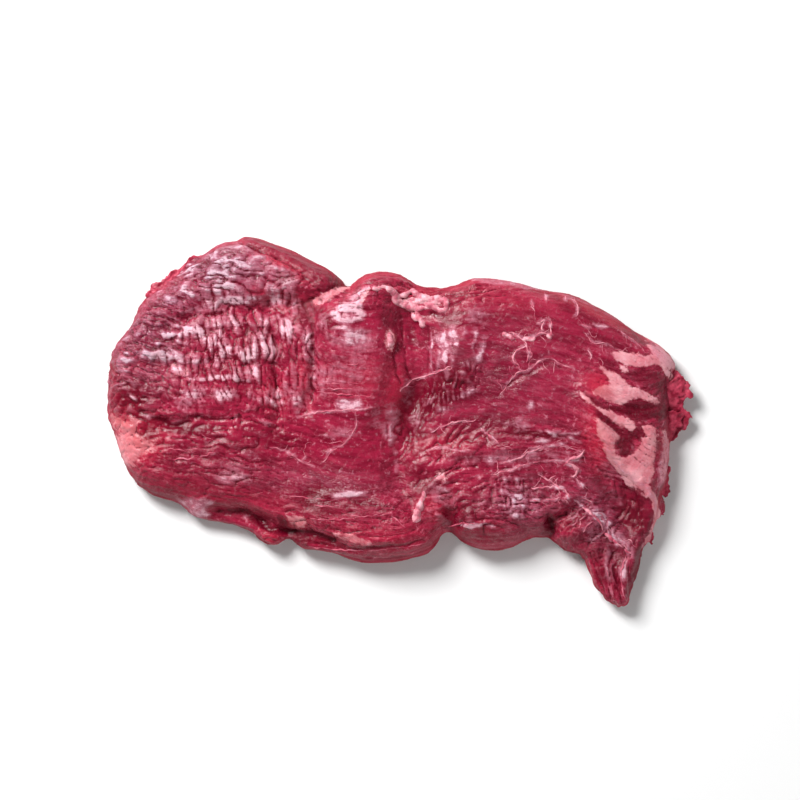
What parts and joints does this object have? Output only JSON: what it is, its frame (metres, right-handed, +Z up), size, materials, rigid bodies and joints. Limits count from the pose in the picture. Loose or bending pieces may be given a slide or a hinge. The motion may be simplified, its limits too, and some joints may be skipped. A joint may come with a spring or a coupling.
{
  "type": "raw beef flank steak",
  "caption": "Raw beef flank steak lying flat: one irregular slab of muscle in bunched lobes, with folds, fat seams, a torn end and a narrow tail.",
  "frame": {"origin": "middle of the flat underside, on the surface the steak lies on", "axes": "+Z up out of the shown face, +X along the grain from the rounded left lobe to the torn end, +Y towards the far edge, away from the tail"},
  "size_m": [0.294, 0.1868, 0.0293],
  "materials": {
    "meat": "moist raw beef, deep crimson to purplish pink, with a thin silvery film and wet highlights",
    "fat": "pale pink fat and thin white connective threads, moist"
  },
  "bodies": {
    "root": {"flank_steak": "meat"}
  },
  "joints": []
}
